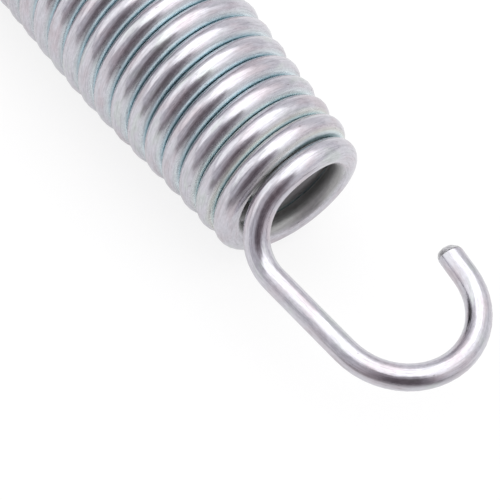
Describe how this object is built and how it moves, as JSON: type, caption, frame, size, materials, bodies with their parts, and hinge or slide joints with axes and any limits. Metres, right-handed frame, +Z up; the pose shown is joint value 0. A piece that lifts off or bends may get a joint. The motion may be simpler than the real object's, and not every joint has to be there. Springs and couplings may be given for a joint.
{
  "type": "extension spring",
  "caption": "Close-wound extension spring with tapered ends and a long open hook bent from the wire at each end.",
  "frame": {"origin": "middle of the coil, on its axis", "axes": "+X along the coil's axis towards the hook shown in the picture, +Y towards the open side of both hooks, +Z up, away from the surface that the spring lies on"},
  "size_m": [0.141, 0.0246, 0.0242],
  "materials": {
    "zinc_wire": "bright zinc plated drawn wire with a faint blue tint"
  },
  "bodies": {
    "root": {"spring": "zinc_wire"}
  },
  "joints": []
}
